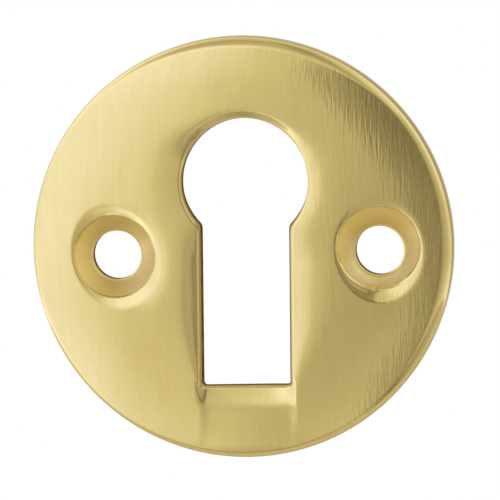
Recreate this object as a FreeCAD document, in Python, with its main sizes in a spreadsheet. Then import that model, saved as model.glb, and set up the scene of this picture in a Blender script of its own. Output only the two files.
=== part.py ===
"""Keyhole escutcheon: a round plate pressed from one piece of brass sheet.

It is screwed to a door or a drawer front, over the keyhole. The sheet is domed, its rim is rolled down to the
door, two screw dishes are pressed back until they stand on the door, and the keyhole is punched through it.

Frame, in millimetres: X runs to the right along the line of the two screw holes, Z runs up towards the round end
of the keyhole, and the plate looks towards -Y. The origin is the centre of the disc, in the plane of the door, so
the whole plate lies between Y = 0 and Y = -crown_height.
"""

import FreeCAD, Part
import math
import os

import Sketcher

# Driving sizes, in millimetres. Each is a named cell of the sheet, and every sketch is tied to those cells.
SIZES = {
    # The domed disc.
    "disc_radius": 16.0,
    "crown_height": 2.9,
    "dome_radius": 165.0,
    "sheet_thickness": 1.1,
    "shoulder_radius": 0.9,
    "inner_shoulder_radius": 0.5,
    # The two screw dishes: their axes stand this far inside the rim, and the pair a little right of and below centre.
    "screw_inset": 5.925,
    "screw_line_shift": 0.345,
    "screw_line_drop": 0.46,
    "screw_hole_radius": 1.85,
    "screw_seat_height": 0.8,
    "countersink_radius": 3.18,
    "countersink_rise": 1.32,
    "dish_mouth_radius": 3.8,
    "dish_lip_radius": 0.3,
    "cup_foot_radius": 2.6,
    "cup_neck_radius": 4.3,
    # The keyhole: a round end above a straight slot, which leans a little off the upright.
    "keyhole_round_radius": 4.84,
    "keyhole_round_shift": 0.40,
    "keyhole_round_rise": 5.05,
    "slot_width": 7.0,
    "slot_foot_shift": 0.11,
    "slot_foot_drop": 10.53,
    "slot_corner_radius": 0.4,
    "neck_corner_radius": 0.4,
    # Round the keyhole the sheet is drawn down to a level edge, by a band that slants this much over this width.
    "edge_drop": 0.34,
    "band_width": 1.7,
    "band_rise": 0.25,
    # The shallow trough from the foot of the slot towards the rim.
    "trough_width": 6.6,
    "trough_depth": 0.24,
    "trough_length": 4.2,
    "trough_lip_length": 1.4,
    "trough_lip_depth": 0.12,
}

# Half the distance between the two screw holes, as a number and as an expression on the sheet.
HALF_SPACING = SIZES["disc_radius"] - SIZES["screw_inset"]
HALF_SPACING_TEXT = "(Sizes.disc_radius - Sizes.screw_inset)"

# How far cutting sketches reach past the metal that they cut.
CLEARANCE = 1.0

# The two screw dishes, and the side of the keyhole that each stands on.
SIDES = {"Left": -1, "Right": 1}

# How closely measured sizes agree when an edge or a face is picked out.
TOLERANCE = 1e-4

# Where the seams of the turned surfaces lie, in degrees about their axes from the right hand side: the disc's is
# clear of the dishes, and each dish's points straight up, clear of the disc's centre.
DISC_SEAM = 35
DISH_SEAM = -90

# The slot's lean off the upright, as an angle on the sheet: from the middle of its foot to the round end's centre.
SLOT_LEAN = (
    "atan((Sizes.keyhole_round_shift - Sizes.slot_foot_shift)"
    " / (Sizes.keyhole_round_rise + Sizes.slot_foot_drop))"
)

# How far the slopes of the drawn band run on inside the keyhole's outline, so that the punch cuts nothing but slope.
BAND_OVERRUN = 0.7

NODE = "escutcheon_plate"


def make_sheet(doc):
    """Write the driving sizes into a spreadsheet: a name, a plain number and an alias on each row."""
    sheet = doc.addObject("Spreadsheet::Sheet", "Sizes")
    for row, (name, value) in enumerate(SIZES.items(), start=1):
        sheet.set(f"A{row}", name)
        sheet.set(f"B{row}", str(value))
        sheet.setAlias(f"B{row}", name)
    doc.recompute()


def origin_plane(body, role):
    """The body's own origin plane with this role, such as XY_Plane."""
    return next(feature for feature in body.Origin.OriginFeatures if feature.Role == role)


def new_sketch(body, name, role, shifts=None, turn=0):
    """A sketch on one of the body's origin planes.

    shifts moves it, and maps x, y or z, along the plane's own axes, to an expression on the sheet. turn swings its
    plane about its own upright axis, in degrees, so that the seam of what is turned from it lies where it is wanted.
    """
    sketch = body.newObject("Sketcher::SketchObject", name)
    sketch.AttachmentSupport = (origin_plane(body, role), "")
    sketch.MapMode = "FlatFace"
    sketch.AttachmentOffset = FreeCAD.Placement(
        FreeCAD.Vector(0, 0, 0), FreeCAD.Rotation(FreeCAD.Vector(0, 1, 0), turn)
    )
    for axis, expression in (shifts or {}).items():
        sketch.setExpression(f".AttachmentOffset.Base.{axis}", expression)
    return sketch


def bind(sketch, constraint, expression):
    """Add a dimension to a sketch and tie it to an expression on the sheet."""
    index = sketch.addConstraint(constraint)
    sketch.setExpression(f"Constraints[{index}]", expression)


def pin(sketch, geometry, end, across, along):
    """Dimension one point of a sketch from the sketch's origin, with an expression for each direction."""
    place = sketch.getPoint(geometry, end)
    bind(sketch, Sketcher.Constraint("DistanceX", -1, 1, geometry, end, place.x), across)
    bind(sketch, Sketcher.Constraint("DistanceY", -1, 1, geometry, end, place.y), along)


def outline(sketch, corners):
    """A closed outline of straight lines.

    Each corner is (x, y, expression for x, expression for y): the numbers draw it, the expressions hold it.
    """
    points = [FreeCAD.Vector(x, y, 0) for x, y, across, along in corners]
    for start, end in zip(points, points[1:] + points[:1]):
        sketch.addGeometry(Part.LineSegment(start, end), False)
    count = len(points)
    for line in range(count):
        following = (line + 1) % count
        sketch.addConstraint(Sketcher.Constraint("Coincident", line, 2, following, 1))
    for line, (x, y, across, along) in enumerate(corners):
        pin(sketch, line, 1, across, along)


def dome_drop(distance):
    """How far the dome's face has fallen below its crown, at a distance from the disc's centre."""
    radius = SIZES["dome_radius"]
    return radius - math.sqrt(radius**2 - distance**2)


def domed_disc(body):
    """Turn the section of the sheet about the disc's centre line: dome, shoulder and rim, hollow behind."""
    edge = SIZES["disc_radius"]
    crown = SIZES["crown_height"]
    dome = SIZES["dome_radius"]
    wall = SIZES["sheet_thickness"]
    outer = SIZES["shoulder_radius"]
    inner = SIZES["inner_shoulder_radius"]
    centre_y = dome - crown

    def shoulder(dome_arc, rim, small):
        """The centre of an arc that touches a dome arc and an upright rim, and the angle where it leaves the dome."""
        across = rim - small
        reach = dome_arc - small
        return across, centre_y - math.sqrt(reach**2 - across**2), math.asin(across / reach) - math.pi / 2

    across, along, leave = shoulder(dome, edge, outer)
    inner_across, inner_along, inner_leave = shoulder(dome - wall, edge - wall, inner)
    up = FreeCAD.Vector(0, 0, 1)
    centre = FreeCAD.Vector(0, centre_y, 0)
    outer_centre = FreeCAD.Vector(across, along, 0)
    inner_centre = FreeCAD.Vector(inner_across, inner_along, 0)

    def arc(middle, radius, start, end):
        return Part.ArcOfCircle(Part.Circle(middle, up, radius), start, end)

    def line(x1, y1, x2, y2):
        return Part.LineSegment(FreeCAD.Vector(x1, y1, 0), FreeCAD.Vector(x2, y2, 0))

    sketch = new_sketch(body, "DiscSection", "XY_Plane", turn=DISC_SEAM)
    face = sketch.addGeometry(arc(centre, dome, -math.pi / 2, leave), False)
    roll = sketch.addGeometry(arc(outer_centre, outer, leave, 0), False)
    rim = sketch.addGeometry(line(edge, along, edge, 0), False)
    seat = sketch.addGeometry(line(edge, 0, edge - wall, 0), False)
    back_rim = sketch.addGeometry(line(edge - wall, 0, edge - wall, inner_along), False)
    back_roll = sketch.addGeometry(arc(inner_centre, inner, inner_leave, 0), False)
    back_face = sketch.addGeometry(arc(centre, dome - wall, -math.pi / 2, inner_leave), False)
    middle = sketch.addGeometry(line(0, wall - crown, 0, -crown), False)

    joints = [
        ("Tangent", face, 2, roll, 1),
        ("Tangent", roll, 2, rim, 1),
        ("Coincident", rim, 2, seat, 1),
        ("Coincident", seat, 2, back_rim, 1),
        ("Tangent", back_rim, 2, back_roll, 2),
        ("Tangent", back_roll, 1, back_face, 2),
        ("Coincident", back_face, 1, middle, 1),
        ("Coincident", middle, 2, face, 1),
        ("Coincident", face, 3, back_face, 3),
        ("PointOnObject", face, 3, -2),
        ("PointOnObject", face, 1, -2),
        ("PointOnObject", back_face, 1, -2),
        ("PointOnObject", rim, 2, -1),
        ("PointOnObject", seat, 2, -1),
        ("Vertical", rim),
        ("Vertical", back_rim),
    ]
    for joint in joints:
        sketch.addConstraint(Sketcher.Constraint(*joint))
    bind(sketch, Sketcher.Constraint("Radius", face, dome), "Sizes.dome_radius")
    bind(sketch, Sketcher.Constraint("Radius", roll, outer), "Sizes.shoulder_radius")
    bind(sketch, Sketcher.Constraint("Radius", back_roll, inner), "Sizes.inner_shoulder_radius")
    bind(sketch, Sketcher.Constraint("DistanceY", -1, 1, face, 1, -crown), "-Sizes.crown_height")
    bind(sketch, Sketcher.Constraint("DistanceX", -1, 1, rim, 2, edge), "Sizes.disc_radius")
    bind(sketch, Sketcher.Constraint("Distance", seat, wall), "Sizes.sheet_thickness")
    bind(sketch, Sketcher.Constraint("Distance", middle, wall), "Sizes.sheet_thickness")

    disc = body.newObject("PartDesign::Revolution", "DomedDisc")
    disc.Profile = sketch
    disc.ReferenceAxis = (sketch, ["V_Axis"])
    disc.Angle = 360


def screw_place(side):
    """Expressions that move a sketch to the axis of one screw hole: side is -1 for the left and 1 for the right."""
    return {
        "x": f"Sizes.screw_line_shift + {side} * {HALF_SPACING_TEXT}",
        "z": "-Sizes.screw_line_drop",
    }


def screw_cup(body, name, side):
    """The back of one pressed screw dish: a cup that stands on the door and runs into the sheet."""
    place = screw_place(side)
    from_centre = math.hypot(SIZES["screw_line_shift"] + side * HALF_SPACING, SIZES["screw_line_drop"])
    cup_top = SIZES["crown_height"] - dome_drop(from_centre) - SIZES["sheet_thickness"] / 2
    neck = SIZES["cup_neck_radius"]
    foot = SIZES["cup_foot_radius"]
    from_centre_text = f"((Sizes.screw_line_shift + {side} * {HALF_SPACING_TEXT}) ^ 2 + Sizes.screw_line_drop ^ 2)"
    cup_top_text = (
        "-(Sizes.crown_height - Sizes.dome_radius"
        f" + sqrt(Sizes.dome_radius ^ 2 - {from_centre_text}) - Sizes.sheet_thickness / 2)"
    )

    section = new_sketch(body, f"{name}CupSection", "XY_Plane", place, DISH_SEAM)
    outline(
        section,
        [
            (0, 0, "0", "0"),
            (foot, 0, "Sizes.cup_foot_radius", "0"),
            (neck, -cup_top, "Sizes.cup_neck_radius", cup_top_text),
            (0, -cup_top, "0", cup_top_text),
        ],
    )
    cup = body.newObject("PartDesign::Revolution", f"{name}Cup")
    cup.Profile = section
    cup.ReferenceAxis = (section, ["V_Axis"])
    cup.Angle = 360


def screw_dish(body, name, side):
    """The front of one pressed screw dish: the bore, the countersink and the steeper wall up to the domed face."""
    place = screw_place(side)
    hole = SIZES["screw_hole_radius"]
    seat = SIZES["screw_seat_height"]
    rim = SIZES["countersink_radius"]
    rise = SIZES["countersink_rise"]
    mouth = SIZES["dish_mouth_radius"]
    crown = SIZES["crown_height"]
    above_text = f"-(Sizes.crown_height + {CLEARANCE})"
    section = new_sketch(body, f"{name}DishSection", "XY_Plane", place, DISH_SEAM)
    outline(
        section,
        [
            (0, CLEARANCE, "0", f"{CLEARANCE}"),
            (hole, CLEARANCE, "Sizes.screw_hole_radius", f"{CLEARANCE}"),
            (hole, -seat, "Sizes.screw_hole_radius", "-Sizes.screw_seat_height"),
            (rim, -seat - rise, "Sizes.countersink_radius", "-(Sizes.screw_seat_height + Sizes.countersink_rise)"),
            (mouth, -crown, "Sizes.dish_mouth_radius", "-Sizes.crown_height"),
            (mouth, -crown - CLEARANCE, "Sizes.dish_mouth_radius", above_text),
            (0, -crown - CLEARANCE, "0", above_text),
        ],
    )
    dish = body.newObject("PartDesign::Groove", f"{name}Dish")
    dish.Profile = section
    dish.ReferenceAxis = (section, ["V_Axis"])
    dish.Angle = 360


def band_section(body, name, turned, half, half_text, low, high):
    """The section of the drawn band: its slope, which passes half its width out at the low level, up to the high one.

    It is turned about the axis of the round end, or pushed along the slot, which leans a little off the upright.
    low and high are pairs of a number and its expression. The slope starts a little inside and below the low level.
    """
    rise = high[0] - low[0]
    reach = rise * SIZES["band_width"] / SIZES["band_rise"]
    reach_text = f"({high[1]} - {low[1]}) * Sizes.band_width / Sizes.band_rise"
    start = half - BAND_OVERRUN
    start_text = f"({half_text} - {BAND_OVERRUN})"
    floor = low[0] - BAND_OVERRUN * SIZES["band_rise"] / SIZES["band_width"]
    floor_text = f"({low[1]} - {BAND_OVERRUN} * Sizes.band_rise / Sizes.band_width)"
    place = {"x": "Sizes.keyhole_round_shift", "z": "Sizes.keyhole_round_rise"}
    section = new_sketch(body, f"{name}Section", "XY_Plane", place, DISH_SEAM)
    if not turned:
        section.setExpression(".AttachmentOffset.Rotation.Angle", SLOT_LEAN)
    inner = 0 if turned else -1
    outline(
        section,
        [
            (inner * start, -floor, f"{inner} * {start_text}", f"-{floor_text}"),
            (start, -floor, start_text, f"-{floor_text}"),
            (half + reach, -high[0], f"{half_text} + {reach_text}", f"-{high[1]}"),
            (inner * (half + reach), -high[0], f"{inner} * ({half_text} + {reach_text})", f"-{high[1]}"),
        ],
    )
    return section


def draw_band(body):
    """Draw the sheet down round the keyhole: a cone round its round end and a slanting band along its slot.

    Both end on the same level, edge_drop below the crown, where the punch then cuts. The dome falls away towards
    the rim, so the band grows narrower from the middle of the plate to the foot of the slot. Behind the band the
    sheet stands back by its own thickness, so that it is as thick there as elsewhere.
    """
    level = (SIZES["crown_height"] - SIZES["edge_drop"], "(Sizes.crown_height - Sizes.edge_drop)")
    above = (SIZES["crown_height"] + CLEARANCE, f"(Sizes.crown_height + {CLEARANCE})")
    behind = (level[0] - SIZES["sheet_thickness"], f"({level[1]} - Sizes.sheet_thickness)")
    within = (level[0] - SIZES["sheet_thickness"] / 2, f"({level[1]} - Sizes.sheet_thickness / 2)")
    radius = (SIZES["keyhole_round_radius"], "Sizes.keyhole_round_radius")
    half = (SIZES["slot_width"] / 2, "Sizes.slot_width / 2")

    section = band_section(body, "RoundBacking", True, *radius, behind, within)
    backing = body.newObject("PartDesign::Revolution", "RoundBacking")
    backing.Profile = section
    backing.ReferenceAxis = (section, ["V_Axis"])
    backing.Angle = 360

    section = band_section(body, "SlotBacking", False, *half, behind, within)
    backing = body.newObject("PartDesign::Pad", "SlotBacking")
    backing.Profile = section
    backing.Reversed = True
    backing.setExpression("Length", "Sizes.keyhole_round_rise + Sizes.slot_foot_drop + Sizes.trough_length / 2")

    section = band_section(body, "RoundBand", True, *radius, level, above)
    band = body.newObject("PartDesign::Groove", "RoundBand")
    band.Profile = section
    band.ReferenceAxis = (section, ["V_Axis"])
    band.Angle = 360

    section = band_section(body, "SlotBand", False, *half, level, above)
    band = body.newObject("PartDesign::Pocket", "SlotBand")
    band.Profile = section
    band.Type = 1


def trough(body):
    """The shallow trough between two creases that runs from the foot of the slot towards the rim."""
    crown = SIZES["crown_height"]
    dome = SIZES["dome_radius"]
    foot = SIZES["slot_foot_drop"]
    lip = SIZES["trough_lip_length"]
    end = foot + SIZES["trough_length"]
    floor = crown - dome_drop(foot) - SIZES["trough_depth"]
    lip_floor = floor - SIZES["trough_lip_depth"]
    end_level = crown - dome_drop(end)
    inside = foot - CLEARANCE
    above = crown + CLEARANCE

    dome_text = "Sizes.crown_height - Sizes.dome_radius + sqrt(Sizes.dome_radius ^ 2 - {0} ^ 2)"
    end_text = "(Sizes.slot_foot_drop + Sizes.trough_length)"
    floor_text = f"({dome_text.format('Sizes.slot_foot_drop')} - Sizes.trough_depth)"
    above_text = f"-(Sizes.crown_height + {CLEARANCE})"
    inside_text = f"-(Sizes.slot_foot_drop - {CLEARANCE})"
    section = new_sketch(body, "TroughSection", "YZ_Plane")
    section.setExpression(".AttachmentOffset.Base.z", "Sizes.slot_foot_shift")
    outline(
        section,
        [
            (-lip_floor, -inside, f"-({floor_text} - Sizes.trough_lip_depth)", inside_text),
            (-lip_floor, -foot, f"-({floor_text} - Sizes.trough_lip_depth)", "-Sizes.slot_foot_drop"),
            (-floor, -foot - lip, f"-{floor_text}", "-(Sizes.slot_foot_drop + Sizes.trough_lip_length)"),
            (-end_level, -end, f"-({dome_text.format(end_text)})", f"-{end_text}"),
            (-above, -end, above_text, f"-{end_text}"),
            (-above, -inside, above_text, inside_text),
        ],
    )
    cut = body.newObject("PartDesign::Pocket", "Trough")
    cut.Profile = section
    cut.Midplane = True
    cut.setExpression("Length", "Sizes.trough_width")


def keyhole(body):
    """Punch the keyhole: most of a circle above a slot, with rounded necks and rounded foot corners."""
    round_x = SIZES["keyhole_round_shift"]
    round_z = SIZES["keyhole_round_rise"]
    radius = SIZES["keyhole_round_radius"]
    half = SIZES["slot_width"] / 2
    foot_x = SIZES["slot_foot_shift"]
    foot_z = -SIZES["slot_foot_drop"]
    corner = SIZES["slot_corner_radius"]
    neck = SIZES["neck_corner_radius"]

    # The slot's sides run along the line from the middle of its foot to the centre of the round end.
    lean = math.atan2(round_x - foot_x, round_z - foot_z)
    along = FreeCAD.Vector(math.sin(lean), math.cos(lean), 0)
    across = FreeCAD.Vector(math.cos(lean), -math.sin(lean), 0)
    middle = FreeCAD.Vector(round_x, round_z, 0)
    up = FreeCAD.Vector(0, 0, 1)

    def angle_from(centre, point):
        return math.atan2(point.y - centre.y, point.x - centre.x)

    def arc(centre, size, start, end):
        """An arc drawn anticlockwise about its centre from one point to another."""
        first = angle_from(centre, start)
        last = angle_from(centre, end)
        if last < first:
            last += 2 * math.pi
        return Part.ArcOfCircle(Part.Circle(centre, up, size), first, last)

    def neck_points(side):
        """Centre of a neck's rounding, and where it meets the round end and the slot's side."""
        drop = math.sqrt((radius + neck) ** 2 - (half + neck) ** 2)
        centre = middle - along * drop + across * (side * (half + neck))
        on_round = middle + (centre - middle) * (radius / (radius + neck))
        return centre, on_round, centre - across * (side * neck)

    def foot_points(side):
        """Centre of a foot corner, and where it meets the slot's side and its foot."""
        beside = middle + across * (side * (half - corner))
        centre = beside + along * ((foot_z + corner - beside.y) / along.y)
        return centre, centre + across * (side * corner), FreeCAD.Vector(centre.x, foot_z, 0)

    right_neck, right_round, right_top = neck_points(1)
    left_neck, left_round, left_top = neck_points(-1)
    right_corner, right_side, right_foot = foot_points(1)
    left_corner, left_side, left_foot = foot_points(-1)

    sketch = new_sketch(body, "KeyholeOutline", "XZ_Plane")
    bow = sketch.addGeometry(arc(middle, radius, right_round, left_round), False)
    left_bend = sketch.addGeometry(arc(left_neck, neck, left_top, left_round), False)
    left = sketch.addGeometry(Part.LineSegment(left_top, left_side), False)
    left_turn = sketch.addGeometry(arc(left_corner, corner, left_side, left_foot), False)
    foot = sketch.addGeometry(Part.LineSegment(left_foot, right_foot), False)
    right_turn = sketch.addGeometry(arc(right_corner, corner, right_foot, right_side), False)
    right = sketch.addGeometry(Part.LineSegment(right_side, right_top), False)
    right_bend = sketch.addGeometry(arc(right_neck, neck, right_round, right_top), False)
    axis = sketch.addGeometry(Part.LineSegment(FreeCAD.Vector(foot_x, foot_z, 0), middle), True)

    joints = [
        ("Tangent", bow, 2, left_bend, 2),
        ("Tangent", left_bend, 1, left, 1),
        ("Tangent", left, 2, left_turn, 1),
        ("Tangent", left_turn, 2, foot, 1),
        ("Tangent", foot, 2, right_turn, 1),
        ("Tangent", right_turn, 2, right, 1),
        ("Tangent", right, 2, right_bend, 2),
        ("Tangent", right_bend, 1, bow, 1),
        ("Coincident", axis, 2, bow, 3),
        ("PointOnObject", axis, 1, foot),
        ("Horizontal", foot),
        ("Parallel", left, axis),
        ("Parallel", right, axis),
        ("Equal", left_turn, right_turn),
        ("Equal", left_bend, right_bend),
    ]
    for joint in joints:
        sketch.addConstraint(Sketcher.Constraint(*joint))
    bind(sketch, Sketcher.Constraint("Radius", bow, radius), "Sizes.keyhole_round_radius")
    bind(sketch, Sketcher.Constraint("Radius", left_turn, corner), "Sizes.slot_corner_radius")
    bind(sketch, Sketcher.Constraint("Radius", left_bend, neck), "Sizes.neck_corner_radius")
    bind(sketch, Sketcher.Constraint("Distance", bow, 3, left, half), "Sizes.slot_width / 2")
    bind(sketch, Sketcher.Constraint("Distance", bow, 3, right, half), "Sizes.slot_width / 2")
    pin(sketch, bow, 3, "Sizes.keyhole_round_shift", "Sizes.keyhole_round_rise")
    pin(sketch, axis, 1, "Sizes.slot_foot_shift", "-Sizes.slot_foot_drop")

    punch = body.newObject("PartDesign::Pocket", "Keyhole")
    punch.Profile = sketch
    punch.Type = 1
    punch.Midplane = True


def dish_lips(shape):
    """Names of the edges where a dish's steep wall meets the domed face: a cone and a sphere of the dome's radius."""
    names = []
    for number, edge in enumerate(shape.Edges, start=1):
        surfaces = [face.Surface for face in shape.ancestorsOfType(edge, Part.Face)]
        domed = any(
            isinstance(surface, Part.Sphere) and abs(surface.Radius - SIZES["dome_radius"]) < TOLERANCE
            for surface in surfaces
        )
        beside_screw = any(
            isinstance(surface, Part.Cone)
            and abs(abs(surface.Center.x - SIZES["screw_line_shift"]) - HALF_SPACING) < TOLERANCE
            for surface in surfaces
        )
        if domed and beside_screw:
            names.append(f"Edge{number}")
    return names


def round_dish_lips(body):
    """Round the lips of the two dishes, where the sheet bends from the dome into each dish's wall."""
    base = body.Tip
    lips = body.newObject("PartDesign::Fillet", "DishLips")
    lips.Base = (base, dish_lips(base.Shape))
    lips.setExpression("Radius", "Sizes.dish_lip_radius")


def faults(doc, body):
    """What is wrong with the built plate, in words: an empty list when it is sound."""
    found = [
        f"{item.Label} is {' and '.join(item.State)}"
        for item in doc.Objects
        if "Invalid" in item.State or "Error" in item.State
    ]
    shape = body.Shape
    if shape.isNull() or not shape.isValid():
        found.append(f"{body.Label} has no valid shape")
    elif len(shape.Solids) != 1:
        found.append(f"{body.Label} has {len(shape.Solids)} solids")
    return found


def main():
    """Build the plate, check it, and write its solid as a STEP file named after its label."""
    doc = FreeCAD.newDocument("KeyholeEscutcheon")
    make_sheet(doc)
    body = doc.addObject("PartDesign::Body", "EscutcheonPlate")
    body.Label = NODE
    body.Placement = FreeCAD.Placement()
    domed_disc(body)
    for name, side in SIDES.items():
        screw_cup(body, name, side)
    for name, side in SIDES.items():
        screw_dish(body, name, side)
    doc.recompute()
    round_dish_lips(body)
    draw_band(body)
    trough(body)
    keyhole(body)
    doc.recompute()

    problems = faults(doc, body)
    if problems:
        raise RuntimeError("; ".join(problems))
    os.makedirs("parts", exist_ok=True)
    body.Shape.exportStep(os.path.join("parts", f"{body.Label}.step"))
    print(f"{body.Label}: {body.Shape.Volume:.2f} cubic millimetres")


main()
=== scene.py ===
# %% [markdown]
# Keyhole escutcheon.
# The real object is a round plate pressed from one piece of brass sheet. It is screwed over the keyhole of
# a door or a drawer. The sheet is domed, its rim is rolled down, two screw dishes are pressed back, and the
# keyhole is punched through it. The finish is satin, brushed upright. This lesson rebuilds the plate as one
# closed surface over its CAD frame, gives it a brushed brass material, and sets up a plain studio round it.

# %% Load the frame
import math

import bpy
import numpy as np
from mathutils import Matrix, Vector


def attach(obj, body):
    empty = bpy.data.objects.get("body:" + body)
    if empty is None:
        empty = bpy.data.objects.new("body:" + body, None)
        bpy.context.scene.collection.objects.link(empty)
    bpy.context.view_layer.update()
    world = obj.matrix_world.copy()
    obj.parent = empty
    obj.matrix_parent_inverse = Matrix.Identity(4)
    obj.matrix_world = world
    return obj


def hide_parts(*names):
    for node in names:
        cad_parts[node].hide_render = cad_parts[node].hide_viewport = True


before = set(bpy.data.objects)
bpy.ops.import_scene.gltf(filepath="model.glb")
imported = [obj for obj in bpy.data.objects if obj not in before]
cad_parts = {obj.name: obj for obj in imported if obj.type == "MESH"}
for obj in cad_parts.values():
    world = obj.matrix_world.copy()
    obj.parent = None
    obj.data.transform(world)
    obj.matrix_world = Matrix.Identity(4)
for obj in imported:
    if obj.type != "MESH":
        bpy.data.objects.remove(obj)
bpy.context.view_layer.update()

MM = 0.001

# %% [markdown]
# The sizes of the plate.
# Every size is in millimetres, in the CAD model's frame: X to the right, Z up, the door at Y = 0.
# Heights are measured from the door to the viewer, so Y is minus the height. The disc, the sheet, the keyhole
# and the bores have the CAD's sizes. Small roundings follow the photograph, to a tenth of a millimetre.

# %% Sizes of the disc and the keyhole
DISC_RADIUS = 16.0
CROWN_HEIGHT = 2.9
DOME_RADIUS = 165.0
THICKNESS = 1.1

ROUND_X, ROUND_Z = 0.40, 5.05
ROUND_RADIUS = 4.84
SLOT_HALF = 3.5
FOOT_X, FOOT_Z = 0.11, -10.53
CORNER_RADIUS = 0.38
NECK_RADIUS = 0.5
# the slot's middle line leans from the middle of its foot to the centre of the round end
LEAN = math.atan2(ROUND_X - FOOT_X, ROUND_Z - FOOT_Z)
print("disc across:", 2 * DISC_RADIUS, "slot across:", 2 * SLOT_HALF, "lean:", round(math.degrees(LEAN), 2))

# %% [markdown]
# The sizes of the screw dishes.
# A pressed dish is no true circle. Its mouth is an oval that reaches further down than sideways,
# and its wall is steep on one side and shallow on another. Numbers for a few directions say this, and a smooth
# curve through them fills in the rest.

# %% Sizes of the two screw dishes
BORE_RADIUS = 1.85
SEAT_HEIGHT = 0.8
DISHES = {
    "left": {
        "hole": (-9.73, -0.53),
        # the cone's radius, and its shift to the right and up
        "cone": (3.15, 0.05, 0.04),
        # the mouth's short and long half, the long one's turn in degrees, and the shift to the right and up
        "mouth": (3.33, 3.98, 107, 0.11, 0.01),
        # the slope of the soft fall beside the mouth, on its right
        "beside": 0.05,
        # degrees round the mouth, the slope of the pressed wall, how softly it begins, and how deep it goes
        "wall": (
            (0, 0.23, 0.06, 0.08), (60, 0.20, 0.08, 0.07), (90, 0.17, 0.10, 0.09), (120, 0.18, 0.12, 0.20),
            (150, 0.20, 0.05, 0.10), (180, 0.21, 0.035, 0.035), (235, 0.21, 0.035, 0.05),
            (252, 0.18, 0.05, 0.09), (265, 0.17, 0.06, 0.15), (300, 0.20, 0.07, 0.18),
            (330, 0.22, 0.07, 0.12),
        ),
    },
    "right": {
        "hole": (10.385, -0.42),
        "cone": (3.15, 0.09, 0.40),
        "mouth": (3.36, 3.97, 97, 0.11, 0.11),
        "beside": 0.0,
        "wall": (
            (0, 0.24, 0.05, 0.08), (50, 0.22, 0.06, 0.07), (85, 0.06, 0.06, 0.03), (125, 0.10, 0.05, 0.03),
            (160, 0.17, 0.04, 0.04), (225, 0.17, 0.04, 0.045), (243, 0.18, 0.07, 0.07),
            (259, 0.20, 0.08, 0.11), (269, 0.23, 0.06, 0.22), (310, 0.21, 0.07, 0.24),
            (340, 0.22, 0.06, 0.12),
        ),
    },
}
print("screw holes apart:", round(DISHES["right"]["hole"][0] - DISHES["left"]["hole"][0], 2))

# %% [markdown]
# Where things are soft.
# Two slopes that meet in pressed sheet never meet in a sharp crease. A smooth minimum follows the
# lower of two heights, and rounds the change over within a band. So every fold is a formula that can be read.

# %% Smooth minimum, step, ramp and values round a circle
def soft_min(first, second, softness):
    """The lower of two heights. Where they differ by less than softness, a parabola rounds the change."""
    near = np.maximum(softness - np.abs(first - second), 0.0) / softness
    return np.minimum(first, second) - near * near * softness / 4


def soft_step(value, start, end):
    """Nought up to start, one from end on, and three t squared less two t cubed between them."""
    t = np.clip((value - start) / (end - start), 0.0, 1.0)
    return t * t * (3 - 2 * t)


def soft_ramp(distance, reach, softness):
    """How far a place lies inside the reach, and nought outside, with the change rounded as log(1 + e^t)."""
    return softness * np.logaddexp(0.0, (reach - distance) / softness)


def round_about(angle, degrees, values, spread):
    """Values given at a few directions, read at any: straight between them, then the mean over a bell."""
    compass = np.arange(361.0)
    steady = np.interp(compass[:-1], degrees, values, period=360)
    apart = (compass[:, None] - compass[None, :-1] + 180) % 360 - 180
    bell = np.exp(-((apart / spread) ** 2))
    return np.interp(np.degrees(angle) % 360, compass, bell @ steady / bell.sum(axis=1))


print("soft minimum of two heights of 1, over a band of 0.4:", soft_min(1.0, 1.0, 0.4))

# %% [markdown]
# The dome.
# The face is part of a large sphere, and its slow turn is what makes a satin plate shade from light to
# dark. Near the rim it falls a little faster, where the press pulled it over the die. A cap could be cut from a
# UV sphere, but a height for each place is shorter, and each later pressing is simply taken off it.

# %% The dome's height
SKIRT_START = 11.0
SKIRT_DROP = 0.10


def dome_height(x, z):
    """The crown's height less the sphere's fall, with a little more fall in a skirt near the rim."""
    r = np.hypot(x, z)
    fall = DOME_RADIUS - np.sqrt(DOME_RADIUS**2 - r**2)
    skirt = np.clip((r - SKIRT_START) / (DISC_RADIUS - SKIRT_START), 0.0, 1.0)
    return CROWN_HEIGHT - fall - SKIRT_DROP * skirt**2


print("the dome falls to the rim by:", round(float(CROWN_HEIGHT - dome_height(DISC_RADIUS, 0.0)), 3))

# %% [markdown]
# The rolled edge of the keyhole.
# The punch draws the sheet down with it, so the face bends before it reaches the hole: steeply
# over the round end, softly beside the slot, and hardly at the foot. A bevel would give one even rounding. Here
# each stretch of the outline has a roll of its own, and soft steps lead from one to the next.

# %% The edge drawn down round the keyhole
NECK_SOFTNESS = 0.5
ROUND_ROLL = {"slope": 0.150, "reach": 1.07, "softness": 0.42}
TOP_ROLL = {"slope": 0.36, "reach": 0.58, "softness": 0.12}
LEFT_ROLL = {"slope": 0.085, "reach": 1.5, "softness": 0.45}
SLOT_LEFT_ROLL = {"slope": 0.17, "reach": 1.2, "softness": 0.34}
SLOT_RIGHT_ROLL = {"slope": 0.145, "reach": 1.9, "softness": 0.48}
# how far up the plate the round end's rolls start to change into the slot's, and where they have changed
ROLL_CHANGE = (2.6, -1.2)
# how far up the plate the slot's rolls start to narrow, where they end, and the share that is left there
ROLL_NARROWS = -4.0
ROLL_ENDS = -12.6
ROLL_LEAST = 0.02
# the top and the left of the round end, as the sine and the cosine of the direction from its centre
TOP_SINE = (0.25, 0.95)
LEFT_COSINE = (0.1, 0.9)
TINY = 1e-9


def slot_place(x, z):
    """How far a place is from the slot's leaning middle line, and how far along it below the round end."""
    dx = x - ROUND_X
    dz = z - ROUND_Z
    across = dx * math.cos(LEAN) - dz * math.sin(LEAN)
    below = -(dx * math.sin(LEAN) + dz * math.cos(LEAN))
    return across, below


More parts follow.
